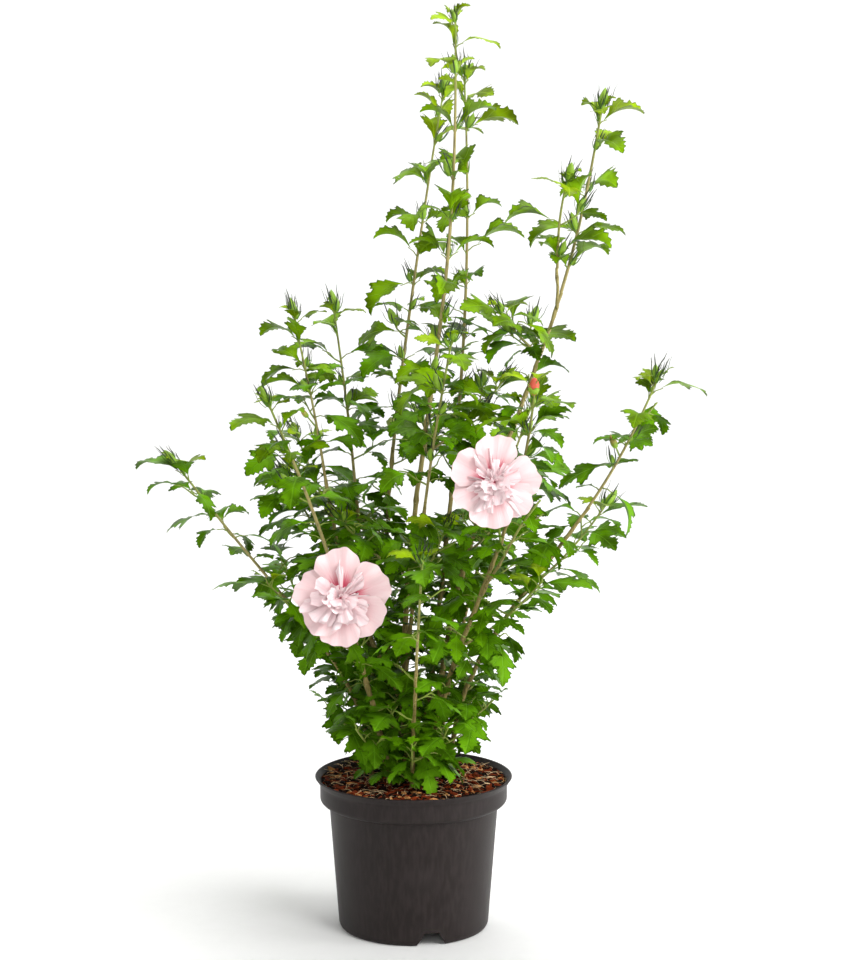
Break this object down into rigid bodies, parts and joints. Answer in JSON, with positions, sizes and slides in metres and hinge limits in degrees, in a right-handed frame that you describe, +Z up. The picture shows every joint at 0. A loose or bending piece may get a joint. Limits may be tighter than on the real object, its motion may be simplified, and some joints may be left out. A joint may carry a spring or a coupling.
{
  "type": "potted hibiscus shrub",
  "caption": "Upright hibiscus shrub in a round plastic nursery pot, with slender canes, green leaves, buds and large double pink blooms.",
  "frame": {"origin": "middle of the flat underside of the pot, on the ground", "axes": "+Z up along the pot's axis, +X to the plant's right as seen from its front, -Y to the front, where the two blooms face"},
  "size_m": [0.6609, 0.5445, 1.0631],
  "materials": {
    "pot": "moulded, satin",
    "soil": "loose bark and peat",
    "stems": "young bark",
    "foliage": "soft matt leaf",
    "petals": "soft matt petal"
  },
  "bodies": {
    "root": {"pot": "pot", "potting_soil": "soil", "bough_left": "stems", "bough_middle_front": "stems", "bough_right_front": "stems", "bough_right_tall": "stems", "cane_back_left": "stems", "cane_back_right": "stems", "cane_far_left": "stems", "cane_far_right": "stems", "cane_front": "stems", "cane_left_back": "stems", "cane_left_front": "stems", "cane_mid_back": "stems", "cane_right_back": "stems", "cane_right_front": "stems", "cane_right_tall": "stems", "cane_tall": "stems", "bloom_left": "petals", "bloom_right": "petals", "foliage_bough_left_1": "foliage", "foliage_bough_left_top": "foliage", "foliage_bough_middle_front_1": "foliage", "foliage_bough_middle_front_top": "foliage", "foliage_bough_right_front_top": "foliage", "foliage_bough_right_tall_top": "foliage", "foliage_cane_back_left_1": "foliage", "foliage_cane_back_left_top": "foliage", "foliage_cane_back_right_1": "foliage", "foliage_cane_back_right_top": "foliage", "foliage_cane_far_left_1": "foliage", "foliage_cane_far_left_2": "foliage", "foliage_cane_far_left_top": "foliage", "foliage_cane_far_right_1": "foliage", "foliage_cane_far_right_2": "foliage", "foliage_cane_far_right_top": "foliage", "foliage_cane_front_1": "foliage", "foliage_cane_front_top": "foliage", "foliage_cane_left_back_1": "foliage", "foliage_cane_left_back_2": "foliage", "foliage_cane_left_back_top": "foliage", "foliage_cane_left_front_1": "foliage", "foliage_cane_left_front_2": "foliage", "foliage_cane_left_front_top": "foliage", "foliage_cane_mid_back_1": "foliage", "foliage_cane_mid_back_2": "foliage", "foliage_cane_mid_back_top": "foliage", "foliage_cane_right_back_1": "foliage", "foliage_cane_right_back_top": "foliage", "foliage_cane_right_front_1": "foliage", "foliage_cane_right_front_2": "foliage", "foliage_cane_right_front_top": "foliage", "foliage_cane_right_tall_1": "foliage", "foliage_cane_right_tall_2": "foliage", "foliage_cane_right_tall_3": "foliage", "foliage_cane_right_tall_top": "foliage", "foliage_cane_tall_1": "foliage", "foliage_cane_tall_2": "foliage", "foliage_cane_tall_3": "foliage", "foliage_cane_tall_top": "foliage"}
  },
  "joints": []
}
